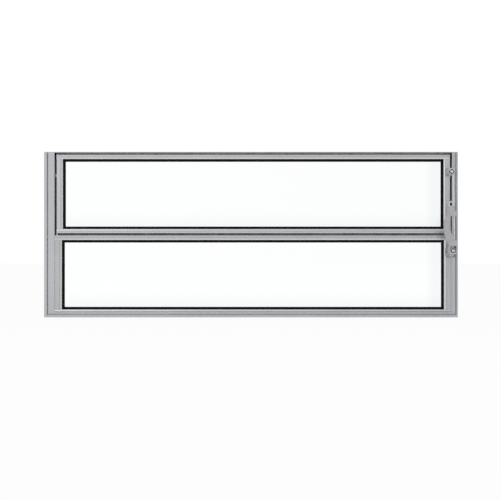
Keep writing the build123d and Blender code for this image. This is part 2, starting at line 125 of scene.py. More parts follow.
# Angle above level, in half turns, at which the round of the bulb seal meets its foot on both sides
BULB_START = 0.35

# Share of the painted edge shade's reach, from the right edge of a pane, over which it is full
PAINTED_SHADE_FULL = 0.5

# Places of the room's tones in the metal, from its left at 0 to its right at 1
BRIGHT_LEFT = 0.375
DIM_SPAN = (0.625, 0.725)
BRIGHT_RIGHT = 0.85

# Depths, from -1 before the window to 1 behind it, between which the room's tones fade to white
ROOM_FRONT = -0.6
ROOM_BACK = 0.2


class FinishSettings(bpy.types.PropertyGroup):
    """Colours and sheen of the window's finishes."""

    frame_colour: bpy.props.FloatVectorProperty(
        name="Frame colour", description="Anodised aluminium of jambs, head, sill and transom",
        subtype="COLOR", size=3, min=0.0, max=1.0, default=(0.565, 0.576, 0.597))
    # Partly a batch tone, partly painted shade: the lower light is a little darker than the frame.
    fixed_batch_and_shade_colour: bpy.props.FloatVectorProperty(
        name="Fixed light colour", description="Anodised aluminium of the lower light's stiles and rail",
        subtype="COLOR", size=3, min=0.0, max=1.0, default=(0.55, 0.555, 0.568))
    # Partly a batch tone, partly painted reflection: the sash is lighter than the frame.
    sash_batch_and_reflection_colour: bpy.props.FloatVectorProperty(
        name="Sash colour", description="Anodised aluminium of the sash's stiles and rails",
        subtype="COLOR", size=3, min=0.0, max=1.0, default=(0.62, 0.625, 0.638))
    # Painted highlight: the beads are lighter than the frame, standing in for the light their sloped faces
    # catch.
    bead_highlight_colour: bpy.props.FloatVectorProperty(
        name="Bead colour", description="Anodised aluminium of the glazing beads, brightened as painted highlight",
        subtype="COLOR", size=3, min=0.0, max=1.0, default=(0.71, 0.715, 0.728))
    casting_colour: bpy.props.FloatVectorProperty(
        name="Casting colour", description="Cast aluminium of the lever, crank and bracket",
        subtype="COLOR", size=3, min=0.0, max=1.0, default=(0.51, 0.502, 0.515))
    knuckle_colour: bpy.props.FloatVectorProperty(
        name="Knuckle colour", description="Polished aluminium of the ball knuckles",
        subtype="COLOR", size=3, min=0.0, max=1.0, default=(0.66, 0.66, 0.67))
    steel_colour: bpy.props.FloatVectorProperty(
        name="Steel colour", description="Turned steel of pins, rivets and screws",
        subtype="COLOR", size=3, min=0.0, max=1.0, default=(0.50, 0.50, 0.50))
    rod_colour: bpy.props.FloatVectorProperty(
        name="Rod colour", description="Bright drawn steel of the link rod",
        subtype="COLOR", size=3, min=0.0, max=1.0, default=(0.53, 0.53, 0.54))
    rubber_colour: bpy.props.FloatVectorProperty(
        name="Rubber colour", description="Black rubber of gaskets and seals",
        subtype="COLOR", size=3, min=0.0, max=1.0, default=(0.003, 0.003, 0.003))
    # Partly the seal's own grey, partly painted shade: the seal darkens the gap over the transom.
    bulb_and_gap_shade_colour: bpy.props.FloatVectorProperty(
        name="Bulb colour", description="Grey rubber of the bulb seal under the sash",
        subtype="COLOR", size=3, min=0.0, max=1.0, default=(0.22, 0.22, 0.225))
    pile_colour: bpy.props.FloatVectorProperty(
        name="Pile colour", description="Grey pile of the seal under the head",
        subtype="COLOR", size=3, min=0.0, max=1.0, default=(0.85, 0.85, 0.86))
    # The seat rings' dark nylon also darkens the knuckles' grooves: painted shade.
    nylon_colour: bpy.props.FloatVectorProperty(
        name="Nylon colour", description="Dark nylon of the pivot bushes and seat rings",
        subtype="COLOR", size=3, min=0.0, max=1.0, default=(0.015, 0.015, 0.016))
    glass_colour: bpy.props.FloatVectorProperty(
        name="Glass colour", description="Tint of the clear float glass",
        subtype="COLOR", size=3, min=0.0, max=1.0, default=(0.995, 0.999, 0.998))
    # Painted shade: this tint darkens the panes towards their right and lower edges, over this reach.
    painted_edge_shade_colour: bpy.props.FloatVectorProperty(
        name="Painted edge shade colour", description="Tint of the painted edge shade at the right and lower edges of the panes",
        subtype="COLOR", size=3, min=0.0, max=1.0, default=(0.930, 0.948, 0.952))
    painted_edge_shade_reach: bpy.props.FloatProperty(
        name="Painted edge shade reach", description="How far the painted edge shade fades in from the edge of a pane",
        unit="LENGTH", min=0.001, default=0.050)
    gasket_sheen: bpy.props.FloatProperty(
        name="Gasket sheen", description="Specular level of the gasket rubber",
        subtype="FACTOR", min=0.0, max=1.0, default=0.10)
    seal_sheen: bpy.props.FloatProperty(
        name="Seal sheen", description="Specular level of the matt jamb seals",
        subtype="FACTOR", min=0.0, max=1.0, default=0.02)
    extrusion_roughness: bpy.props.FloatProperty(
        name="Extrusion roughness", description="Mean roughness of the anodised extrusions",
        subtype="FACTOR", min=0.0, max=1.0, default=0.36)
    bead_roughness: bpy.props.FloatProperty(
        name="Bead roughness", description="Mean roughness of the glazing beads",
        subtype="FACTOR", min=0.0, max=1.0, default=0.38)
    casting_roughness: bpy.props.FloatProperty(
        name="Casting roughness", description="Mean roughness of the cast pieces",
        subtype="FACTOR", min=0.0, max=1.0, default=0.42)
    knuckle_roughness: bpy.props.FloatProperty(
        name="Knuckle roughness", description="Mean roughness of the polished ball knuckles",
        subtype="FACTOR", min=0.0, max=1.0, default=0.20)
    eye_rim_roughness: bpy.props.FloatProperty(
        name="Eye rim roughness", description="Mean roughness of the bright rim round the pull eye",
        subtype="FACTOR", min=0.0, max=1.0, default=0.28)
    screw_roughness: bpy.props.FloatProperty(
        name="Screw roughness", description="Mean roughness of the screw heads",
        subtype="FACTOR", min=0.0, max=1.0, default=0.30)
    rubber_roughness: bpy.props.FloatProperty(
        name="Rubber roughness", description="Mean roughness of the rubber",
        subtype="FACTOR", min=0.0, max=1.0, default=0.58)


class GasketSettings(bpy.types.PropertyGroup):
    """Section of the gasket strips, measured from the outer edge of each strip, and of the bulb seal."""

    foot: bpy.props.FloatProperty(
        name="Foot", description="Flat foot that the bead or the rear leg presses",
        unit="LENGTH", min=0.001, default=0.0040)
    lip_rise: bpy.props.FloatProperty(
        name="Lip rise", description="How far the sealing lip stands up beside the bead",
        unit="LENGTH", min=0.0, default=0.0007)
    lip_width: bpy.props.FloatProperty(
        name="Lip width", description="Width of the sealing lip",
        unit="LENGTH", min=0.0002, default=0.0016)
    edge: bpy.props.FloatProperty(
        name="Edge", description="Thickness left at the edge on the glass",
        unit="LENGTH", min=0.0002, default=0.0008)
    bulb: bpy.props.FloatProperty(
        name="Bulb", description="Diameter of the bulb seal under the sash",
        unit="LENGTH", min=0.001, default=0.0040)
    bulb_foot: bpy.props.FloatProperty(
        name="Bulb foot", description="Thickness of the bulb seal's foot",
        unit="LENGTH", min=0.0002, default=0.0008)
    bulb_inset: bpy.props.FloatProperty(
        name="Bulb inset", description="From the back of the sash to the middle of the bulb",
        unit="LENGTH", min=0.001, default=0.0045)
    drip_reach: bpy.props.FloatProperty(
        name="Drip reach", description="How far the drip lip hangs below the sash's bottom rail",
        unit="LENGTH", min=0.0, default=0.0060)


class GearSettings(bpy.types.PropertyGroup):
    """Turned pieces of the lever gear."""

    bore: bpy.props.FloatProperty(
        name="Bore", description="Diameter of the hole through a ball knuckle",
        unit="LENGTH", min=0.001, default=0.0051)
    shaft: bpy.props.FloatProperty(
        name="Shaft", description="Diameter of the link pins",
        unit="LENGTH", min=0.001, default=0.0050)
    bracket_shaft: bpy.props.FloatProperty(
        name="Bracket shaft", description="Diameter of the pin in the lever bracket",
        unit="LENGTH", min=0.001, default=0.0060)
    groove: bpy.props.FloatProperty(
        name="Groove", description="Radius of the ring groove in the front of a ball knuckle",
        unit="LENGTH", min=0.001, default=0.0048)
    groove_width: bpy.props.FloatProperty(
        name="Groove width", description="Half width of the ring groove",
        unit="LENGTH", min=0.0002, default=0.0015)
    groove_depth: bpy.props.FloatProperty(
        name="Groove depth", description="Depth of the ring groove",
        unit="LENGTH", min=0.0, default=0.0016)
    seat: bpy.props.FloatProperty(
        name="Seat", description="Thickness of the nylon seat ring in the groove",
        unit="LENGTH", min=0.0002, default=0.0020)
    seat_sink: bpy.props.FloatProperty(
        name="Seat sink", description="From the face of the ball in to the middle of the seat ring",
        unit="LENGTH", min=0.0, default=0.0007)
    eye_rim: bpy.props.FloatProperty(
        name="Eye rim", description="Thickness of the raised rim round the pull eye",
        unit="LENGTH", min=0.0002, default=0.0022)
    eye_margin: bpy.props.FloatProperty(
        name="Eye margin", description="From the hole of the pull eye to its rim",
        unit="LENGTH", min=0.0, default=0.0004)
    head: bpy.props.FloatProperty(
        name="Head", description="Length of a rivet head along the pin",
        unit="LENGTH", min=0.0005, default=0.0015)


class ScrewSettings(bpy.types.PropertyGroup):
    """Screw heads with a cross recess."""

    head: bpy.props.FloatProperty(
        name="Head", description="Diameter of a raised head on the gear",
        unit="LENGTH", min=0.001, default=0.0048)
    rise: bpy.props.FloatProperty(
        name="Rise", description="Height of a raised head's crown",
        unit="LENGTH", min=0.0001, default=0.0011)
    flush_head: bpy.props.FloatProperty(
        name="Flush head", description="Diameter of a head on a jamb's side",
        unit="LENGTH", min=0.001, default=0.0080)
    flush_rise: bpy.props.FloatProperty(
        name="Flush rise", description="Height of the crown of a head on a jamb's side",
        unit="LENGTH", min=0.0001, default=0.0004)
    member_inset: bpy.props.FloatProperty(
        name="Member inset", description="From the front of a frame member to the screw in its end",
        unit="LENGTH", min=0.001, default=0.0080)
    plate: bpy.props.FloatProperty(
        name="Plate", description="Thickness of the base plates under the heads",
        unit="LENGTH", min=0.0005, default=0.0020)
    plate_height: bpy.props.FloatProperty(
        name="Plate height", description="Height of the base plates",
        unit="LENGTH", min=0.005, default=0.0200)
    edge_inset: bpy.props.FloatProperty(
        name="Edge inset", description="From the edge of a base plate to the middle of a head",
        unit="LENGTH", min=0.001, default=0.0032)


class StageSettings(bpy.types.PropertyGroup):
    """Camera, floor and studio light."""

    camera_distance: bpy.props.FloatProperty(
        name="Camera distance", description="From the camera to the frame's mid depth",
        unit="LENGTH", min=0.5, default=3.0)
    camera_side: bpy.props.FloatProperty(
        name="Camera side", description="Place of the camera along the window",
        unit="LENGTH", default=-0.0023)
    camera_height: bpy.props.FloatProperty(
        name="Camera height", description="Height of the camera",
        unit="LENGTH", default=0.1628)
    view_width: bpy.props.FloatProperty(
        name="View width", description="Width of the picture at the front face of the lights",
        unit="LENGTH", min=0.1, default=1.2090)
    floor_colour: bpy.props.FloatVectorProperty(
        name="Floor colour", description="Pale floor under the window",
        subtype="COLOR", size=3, min=0.0, max=1.0, default=(0.90, 0.90, 0.90))
    floor_reach: bpy.props.FloatProperty(
        name="Floor reach", description="How far the floor runs to each side",
        unit="LENGTH", min=1.0, default=12.0)
    floor_glow: bpy.props.FloatProperty(
        name="Floor glow", description="Share of plain white in what the camera sees of the floor",
        subtype="FACTOR", min=0.0, max=1.0, default=0.90)
    floor_gloss: bpy.props.FloatProperty(
        name="Floor gloss", description="Share of plain white in what metal and glass mirror of the floor",
        subtype="FACTOR", min=0.0, max=1.0, default=0.50)
    room_bright: bpy.props.FloatProperty(
        name="Bright room", description="Brightness in the metal of the room's left and far right",
        subtype="FACTOR", min=0.0, max=1.0, default=1.0)
    room_dim: bpy.props.FloatProperty(
        name="Dim room", description="Brightness in the metal of the room right of the camera",
        subtype="FACTOR", min=0.0, max=1.0, default=0.50)
    ambient: bpy.props.FloatProperty(
        name="Ambient", description="Strength of the even light from all round",
        min=0.0, default=0.80)
    aim_height: bpy.props.FloatProperty(
        name="Aim height", description="Height of the point on the window that the lamps face",
        unit="LENGTH", default=0.20)
    key_power: bpy.props.FloatProperty(
        name="Key power", description="Large soft lamp at the upper left",
        unit="POWER", min=0.0, default=15.0)
    key_size: bpy.props.FloatVectorProperty(
        name="Key size", description="Width and height of the key lamp",
        unit="LENGTH", size=2, min=0.1, default=(3.6, 3.6))
    key_place: bpy.props.FloatVectorProperty(
        name="Key place", description="Place of the key lamp",
        subtype="TRANSLATION", unit="LENGTH", size=3, default=(-2.0, -2.4, 2.6))
    fill_power: bpy.props.FloatProperty(
        name="Fill power", description="Weaker soft lamp at the right",
        unit="POWER", min=0.0, default=11.0)
    fill_size: bpy.props.FloatVectorProperty(
        name="Fill size", description="Width and height of the fill lamp",
        unit="LENGTH", size=2, min=0.1, default=(2.4, 1.9))
    fill_place: bpy.props.FloatVectorProperty(
        name="Fill place", description="Place of the fill lamp",
        subtype="TRANSLATION", unit="LENGTH", size=3, default=(2.8, -2.0, 1.05))


def tinted(colour, factor=1.0):
    """Colour times a factor, with full opacity, for a colour socket."""
    return tuple(min(1.0, channel * factor) for channel in colour) + (1.0,)


def grey(level):
    """Opaque grey for a colour socket."""
    return (level, level, level, 1.0)


class MaterialMaker:
    """Node material in the making: its shader, Object coordinates and the nodes that the finishes share."""

    def __init__(self, name):
        self.material = bpy.data.materials.new(name)
        self.material.use_nodes = True
        self.nodes = self.material.node_tree.nodes
        self.links = self.material.node_tree.links
        self.shader = self.nodes["Principled BSDF"]
        self.coordinates = self.nodes.new("ShaderNodeTexCoord").outputs["Object"]

    def feed(self, socket, output):
        """Links an output to one of the shader's sockets."""
        self.links.new(output, self.shader.inputs[socket])

    def fix(self, socket, value):
        """Sets one of the shader's sockets to the same value all over."""
        self.shader.inputs[socket].default_value = value

    def noise(self, scale, detail, lean=0.0):
        """Noise whose grain per metre along each axis is given by scale, leaning about X by an angle."""
        mapping = self.nodes.new("ShaderNodeMapping")
        mapping.inputs["Rotation"].default_value = (lean, 0.0, 0.0)
        mapping.inputs["Scale"].default_value = scale
        self.links.new(self.coordinates, mapping.inputs["Vector"])
        noise = self.nodes.new("ShaderNodeTexNoise")
        noise.inputs["Scale"].default_value = 1.0
        noise.inputs["Detail"].default_value = detail
        self.links.new(mapping.outputs["Vector"], noise.inputs["Vector"])
        return noise.outputs["Fac"]

    def ramp(self, factor, low, high, start=NOISE_LOW, end=NOISE_HIGH):
        """Colour that runs from low to high while the factor runs from start to end."""
        ramp = self.nodes.new("ShaderNodeValToRGB")
        first, last = ramp.color_ramp.elements
        first.position = start
        first.color = low
        last.position = end
        last.color = high
        self.links.new(factor, ramp.inputs["Fac"])
        return ramp.outputs["Color"]

    def product(self, first, second):
        """Product of two colours."""
        mix = self.nodes.new("ShaderNodeMix")
        mix.data_type = "RGBA"
        mix.blend_type = "MULTIPLY"
        mix.inputs["Factor"].default_value = 1.0
        colour_inputs = [socket for socket in mix.inputs if socket.type == "RGBA"]
        colour_output = next(socket for socket in mix.outputs if socket.type == "RGBA")
        self.links.new(first, colour_inputs[0])
        self.links.new(second, colour_inputs[1])
        return colour_output

    def spread(self, factor, low, high):
        """Number that runs from low to high over the middle of a noise."""
        spread = self.nodes.new("ShaderNodeMapRange")
        spread.inputs["From Min"].default_value = NOISE_LOW
        spread.inputs["From Max"].default_value = NOISE_HIGH
        spread.inputs["To Min"].default_value = low
        spread.inputs["To Max"].default_value = high
        self.links.new(factor, spread.inputs["Value"])
        return spread.outputs["Result"]

    def bump(self, height, strength, distance):
        """Bump on the shader's normal from a height."""
        bump = self.nodes.new("ShaderNodeBump")
        bump.inputs["Strength"].default_value = strength
        bump.inputs["Distance"].default_value = distance
        self.links.new(height, bump.inputs["Height"])
        self.feed("Normal", bump.outputs["Normal"])


def anodised(name, colour, roughness, along):
    """Satin anodised extrusion: fine die lines along the profile over broad, faint clouds."""
    maker = MaterialMaker(name)
    die_lines = [1300.0, 1300.0, 1300.0]
    die_lines[along] = 5.0
    lines = maker.noise(die_lines, detail=5.0)
    clouds = maker.noise((11.0, 11.0, 11.0), detail=3.0)
    line_colour = maker.ramp(lines, tinted(colour, 0.90), tinted(colour, 1.06))
    cloud_colour = maker.ramp(clouds, (0.94, 0.94, 0.945, 1.0), grey(1.0))
    maker.feed("Base Color", maker.product(line_colour, cloud_colour))
    maker.feed("Roughness", maker.spread(lines, roughness - 0.07, roughness + 0.07))
    maker.fix("Metallic", 1.0)
    maker.bump(lines, strength=0.10, distance=0.0002)
    return maker.material


def cast_metal(name, colour, roughness):
    """Satin casting: a fine grain with a few shallow, darker pits."""
    maker = MaterialMaker(name)
    grain = maker.noise((1500.0, 1500.0, 1500.0), detail=6.0)
    patches = maker.noise((70.0, 70.0, 70.0), detail=3.0)
    grain_colour = maker.ramp(grain, tinted(colour, 0.88), tinted(colour, 1.07))
    patch_colour = maker.ramp(patches, (0.88, 0.88, 0.885, 1.0), grey(1.0))
    maker.feed("Base Color", maker.product(grain_colour, patch_colour))
    maker.feed("Roughness", maker.spread(patches, roughness - 0.06, roughness + 0.09))
    maker.fix("Metallic", 1.0)
    maker.bump(grain, strength=0.16, distance=0.0003)
    return maker.material


def turned_steel(name, colour, centre):
    """Turned steel: fine tool rings about the pin's own axis, broken by a light grain."""
    maker = MaterialMaker(name)
    mapping = maker.nodes.new("ShaderNodeMapping")
    mapping.inputs["Location"].default_value = tuple(-value for value in centre)
    maker.links.new(maker.coordinates, mapping.inputs["Vector"])
    wave = maker.nodes.new("ShaderNodeTexWave")
    wave.wave_type = "RINGS"
    wave.rings_direction = "X"
    wave.inputs["Scale"].default_value = 700.0
    wave.inputs["Distortion"].default_value = 1.5
    wave.inputs["Detail"].default_value = 2.0
    maker.links.new(mapping.outputs["Vector"], wave.inputs["Vector"])
    rings = wave.outputs["Fac"]
    grain = maker.noise((900.0, 900.0, 900.0), detail=4.0)
    ring_colour = maker.ramp(rings, tinted(colour, 0.86), tinted(colour, 1.1), start=0.1, end=0.9)
    grain_colour = maker.ramp(grain, grey(0.90), grey(1.0))
    maker.feed("Base Color", maker.product(ring_colour, grain_colour))
    maker.feed("Roughness", maker.spread(grain, 0.22, 0.34))
    maker.fix("Metallic", 1.0)
    maker.bump(rings, strength=0.10, distance=0.0001)
    return maker.material


def drawn_steel(name, colour, lean):
    """Bright drawn rod: long streaks along the rod, which leans from the upright by a small angle."""
    maker = MaterialMaker(name)
    streaks = maker.noise((1800.0, 1800.0, 12.0), detail=4.0, lean=lean)
    maker.feed("Base Color", maker.ramp(streaks, tinted(colour, 0.86), tinted(colour, 1.08)))
    maker.feed("Roughness", maker.spread(streaks, 0.28, 0.40))
    maker.fix("Metallic", 1.0)
    maker.bump(streaks, strength=0.08, distance=0.0001)
    return maker.material


def rubber(name, colour, roughness, sheen):
    """Extruded rubber: a fine matt grain with faint bloom, and as much sheen as its surface keeps."""
    maker = MaterialMaker(name)
    grain = maker.noise((2200.0, 2200.0, 2200.0), detail=3.0)
    bloom = maker.noise((45.0, 45.0, 45.0), detail=3.0)
    maker.feed("Base Color", maker.ramp(bloom, tinted(colour, 0.8), tinted(colour, 1.7)))
    maker.feed("Roughness", maker.spread(grain, roughness - 0.10, roughness + 0.10))
    maker.fix("Specular IOR Level", sheen)
    maker.bump(grain, strength=0.14, distance=0.0002)
    return maker.material


def grey_pile(name, colour):
    """Woven pile: fine upright hairs of uneven shade with a soft sheen."""
    maker = MaterialMaker(name)
    hairs = maker.noise((2400.0, 2400.0, 90.0), detail=4.0)
    tufts = maker.noise((180.0, 180.0, 40.0), detail=2.0)
    hair_colour = maker.ramp(hairs, tinted(colour, 0.6), tinted(colour, 1.3))
    tuft_colour = maker.ramp(tufts, grey(0.8), grey(1.0))
    maker.feed("Base Color", maker.product(hair_colour, tuft_colour))
    maker.fix("Roughness", 0.9)
    maker.fix("Sheen Weight", 0.3)
    maker.bump(hairs, strength=0.5, distance=0.0005)
    return maker.material


def dark_nylon(name, colour):
    """Moulded nylon: a soft mottle and a light moulding grain."""
    maker = MaterialMaker(name)
    mottle = maker.noise((260.0, 260.0, 260.0), detail=4.0)
    grain = maker.noise((2600.0, 2600.0, 2600.0), detail=2.0)
    maker.feed("Base Color", maker.ramp(mottle, tinted(colour, 0.8), tinted(colour, 1.25)))
    maker.feed("Roughness", maker.spread(grain, 0.40, 0.56))
    maker.bump(grain, strength=0.10, distance=0.0001)
    return maker.material


def painted_edge_shade(maker, axis, edge, inner):
    """Mask of the painted edge shade: 1 at a pane's edge along one axis, falling smoothly to 0 at an inner
    place.
    """
    parts = maker.nodes.new("ShaderNodeSeparateXYZ")
    maker.links.new(maker.coordinates, parts.inputs["Vector"])
    film = maker.nodes.new("ShaderNodeMapRange")
    film.interpolation_type = "SMOOTHSTEP"
    film.inputs["From Min"].default_value = inner
    film.inputs["From Max"].default_value = edge
    maker.links.new(parts.outputs[axis], film.inputs["Value"])
    return film.outputs["Result"]


def float_glass(name, finish, pane):
    """Clear float glass: painted shade that darkens it towards its right and lower edges, a faint wipe in its
    gloss and a slight draw wave.
    """
    maker = MaterialMaker(name)
    low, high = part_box(pane)
    clear = tinted(finish.glass_colour)
    edge_shade_tint = tinted(finish.painted_edge_shade_colour)
    reach = finish.painted_edge_shade_reach
    # Painted shade: the tint darkens the glass towards its right and lower edges.
    right_painted_shade = painted_edge_shade(maker, "X", high[0] - reach * PAINTED_SHADE_FULL, high[0] - reach)
    lower_painted_shade = painted_edge_shade(maker, "Z", low[2], low[2] + reach)
    wipe = maker.noise((14.0, 14.0, 5.0), detail=4.0)
    wave = maker.noise((4.0, 4.0, 2.0), detail=1.0)
    right_colour = maker.ramp(right_painted_shade, clear, edge_shade_tint, start=0.0, end=1.0)
    lower_colour = maker.ramp(lower_painted_shade, clear, edge_shade_tint, start=0.0, end=1.0)
    maker.feed("Base Color", maker.product(right_colour, lower_colour))
    maker.feed("Roughness", maker.spread(wipe, 0.0, 0.02))
    maker.fix("Transmission Weight", 1.0)
    maker.fix("IOR", 1.5)
    maker.bump(wave, strength=0.02, distance=0.0005)
    return maker.material


def dress(nodes, material):
    """Gives each CAD node the material in all its slots."""
    for node in nodes:
        for slot in frame["nodes"][node].material_slots:
            slot.material = material


def grid_quads(rows, columns, wrap_rows):
    """Quads of a grid of points counted row by row. The columns close on themselves, the rows if asked."""
    last_row = rows if wrap_rows else rows - 1
    row, column = np.meshgrid(np.arange(last_row), np.arange(columns), indexing="ij")
    next_row = (row + 1) % rows
    next_column = (column + 1) % columns
    quads = np.stack(
        [
            row * columns + column,
            row * columns + next_column,
            next_row * columns + next_column,
            next_row * columns + column,
        ],
        axis=-1,
    )
    return quads.reshape(-1, 4)


def axis_directions(axis):
    """Three unit directions: the axis itself and two across it, in right-handed order."""
    along = np.array(axis, dtype=float)
    helper = np.array((0.0, 0.0, 1.0))
    across = np.cross(helper, along)
    across /= np.linalg.norm(across)
    return along, across, np.cross(along, across)


def spoke_angles(spokes):
    """Angles of evenly spaced spokes, once round."""
    return np.linspace(0.0, 2.0 * np.pi, spokes, endpoint=False)


def spoke_directions(spokes, right, front):
    """Unit vectors of the spokes: cosine times right plus sine times front."""
    angle = spoke_angles(spokes)[:, None]
    return np.cos(angle) * right + np.sin(angle) * front


def polar_shell(along, radius, foot, crown, centre, axis):
    """Closed shell round an axis. Ring i, spoke j lies at height along[i, j] and distance radius[i, j] from
    the axis, at the angle 2 pi j / spokes. Single points on the axis at the heights foot and crown close the
    ends."""
    rings, spokes = along.shape
    up, right, front = axis_directions(axis)
    points = along[..., None] * up + radius[..., None] * spoke_directions(spokes, right, front)
    points = np.vstack([points.reshape(-1, 3), foot * up, crown * up]) + np.array(centre)
    foot_point = np.full(spokes, rings * spokes)
    crown_point = foot_point + 1
    first = np.arange(spokes)
    following = (first + 1) % spokes
    last_ring = (rings - 1) * spokes
    foot_fan = np.stack([foot_point, following, first], axis=-1)
    crown_fan = np.stack([crown_point, last_ring + first, last_ring + following], axis=-1)
    return points, [grid_quads(rings, spokes, False), foot_fan, crown_fan]


def turned_ring(along, radius, centre, axis, spokes):
    """Ring turned about an axis: a closed profile of heights and distances is carried once round the axis.
    The distances may also differ from spoke to spoke."""
    up, right, front = axis_directions(axis)
    spoke = spoke_directions(spokes, right, front)
    radius = np.broadcast_to(radius, (spokes, len(along)))
    points = along[None, :, None] * up + radius[..., None] * spoke[:, None, :]
    return points.reshape(-1, 3) + np.array(centre), [grid_quads(spokes, len(along), True)]


def round_profile(height, distance, thickness):
    """Closed profile of a round ring: a circle of the given thickness at a height along and a distance from
    the axis."""
    turn = spoke_angles(ROUND_POINTS)
    return height + thickness / 2 * np.sin(turn), distance + thickness / 2 * np.cos(turn)


def framed_strip(across, depth, low, high):
    """Strip round a rectangle: a closed section is carried past the four corners. A section point at the
    distance across from the outer edge moves in by that distance on both sides of a corner, which mitres
    it."""
    corner = np.array([[low[0], low[2]], [high[0], low[2]], [high[0], high[2]], [low[0], high[2]]])
    inward = np.array([[1.0, 1.0], [-1.0, 1.0], [-1.0, -1.0], [1.0, -1.0]])
    plan = corner[:, None, :] + across[None, :, None] * inward[:, None, :]
    points = np.stack([plan[..., 0], np.broadcast_to(depth, plan.shape[:2]), plan[..., 1]], axis=-1)
    return points.reshape(-1, 3), [grid_quads(len(corner), len(across), True)]


def straight_strip(across, rise, left, right):
    """Strip along X: a closed section is drawn from the left end to the right end, and closed with its own
    shape."""
    ends = np.array([left, right])
    points = np.stack(np.broadcast_arrays(ends[:, None], across[None, :], rise[None, :]), axis=-1)
    cap = np.arange(len(across))
    return points.reshape(-1, 3), [grid_quads(2, len(cap), False), np.stack([cap[::-1], len(cap) + cap])]


def enclosed_volume(points, groups):
    """Volume inside a closed shell, as the sum of the cones from the origin to its faces, each cut into a fan
    of triangles. It is negative where the faces point inwards."""
    volume = 0.0
    for faces in groups:
        first = points[faces[:, :1]]
        volume += (first * np.cross(points[faces[:, 1:-1]], points[faces[:, 2:]])).sum() / 6.0
    return volume


def make_piece(name, shells, body, material):
    """One object from closed shells of points and groups of faces, turned outwards, smooth up to an angle,
    riding a body."""
    faces = []
    offset = 0
    for points, groups in shells:
        order = 1 if enclosed_volume(points, groups) > 0.0 else -1
        for group in groups:
            faces += (offset + group[:, ::order]).tolist()
        offset += len(points)
    mesh = bpy.data.meshes.new(name)
    mesh.from_pydata(np.vstack([points for points, groups in shells]).tolist(), [], faces)
    mesh.polygons.foreach_set("use_smooth", np.ones(len(faces), dtype=bool))
    mesh.set_sharp_from_angle(angle=SMOOTH_ANGLE)
    mesh.materials.append(material)
    piece = bpy.data.objects.new(name, mesh)
    bpy.context.scene.collection.objects.link(piece)
    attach(piece, body)
    return piece


def smooth_step(value, low, high):
    """0 below low, 1 above high, and an even cubic between them."""
    share = np.clip((value - low) / (high - low), 0.0, 1.0)
    return share * share * (3.0 - 2.0 * share)


class DressExtrusions(bpy.types.Operator):
    """Anodised finish on the frame, the stiles, the rails and the beads, with the lower light darker (batch
    tone and painted shade), the sash lighter (batch tone and painted reflection) and the beads lighter still
    (painted highlight)
    """

    bl_idname = "pivot_window.dress_extrusions"
    bl_label = "Extrusions"

    def execute(self, context):
        finish = context.scene.window_finish
        # Painted light: the fixed light's tone holds painted shade, the sash's painted reflection and the
        # beads' painted highlight.
        groups = (
            ("frame", finish.frame_colour, finish.extrusion_roughness, UPRIGHT_FRAME, LEVEL_FRAME),
            ("fixed", finish.fixed_batch_and_shade_colour, finish.extrusion_roughness, UPRIGHT_FIXED, LEVEL_FIXED),
            ("sash", finish.sash_batch_and_reflection_colour, finish.extrusion_roughness, UPRIGHT_SASH, LEVEL_SASH),
            ("bead", finish.bead_highlight_colour, finish.bead_roughness, UPRIGHT_BEADS, LEVEL_BEADS),
        )
        for name, colour, roughness, upright, level in groups:
            dress(upright, anodised(f"anodised_{name}_upright", colour, roughness, Z_AXIS))
            dress(level, anodised(f"anodised_{name}_level", colour, roughness, X_AXIS))
        return {"FINISHED"}


class DressGlazing(bpy.types.Operator):
    """Float glass in both panes, rubber seals beside the sash and a pile seal over it"""

    bl_idname = "pivot_window.dress_glazing"
    bl_label = "Glass and seals"

    def execute(self, context):
        finish = context.scene.window_finish
        for pane in PANES:
            dress((pane,), float_glass(f"float_{pane}", finish, pane))
        dress(SEALS, rubber("seal_rubber", finish.rubber_colour, finish.rubber_roughness, finish.seal_sheen))
        dress(("head_seal",), grey_pile("grey_pile", finish.pile_colour))
        return {"FINISHED"}


class DressGear(bpy.types.Operator):
    """Castings of the lever gear, the link rod, the pivot pins and their bushes"""

    bl_idname = "pivot_window.dress_gear"
    bl_label = "Gear castings and rod"

    def execute(self, context):
        finish = context.scene.window_finish
        dress(CASTINGS, cast_metal("cast_aluminium", finish.casting_colour, finish.casting_roughness))
        rod_low, rod_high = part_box("link_rod")
        lean = math.atan2(rod_high[1] - rod_low[1], rod_high[2] - rod_low[2])
        dress(("link_rod",), drawn_steel("drawn_steel", finish.rod_colour, lean))
        for pin in PIVOT_PINS:
            low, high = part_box(pin)
            centre = (Vector(low) + Vector(high)) / 2
            dress((pin,), turned_steel(f"turned_{pin}", finish.steel_colour, centre))
        dress(BUSHES, dark_nylon("dark_nylon", finish.nylon_colour))
        return {"FINISHED"}


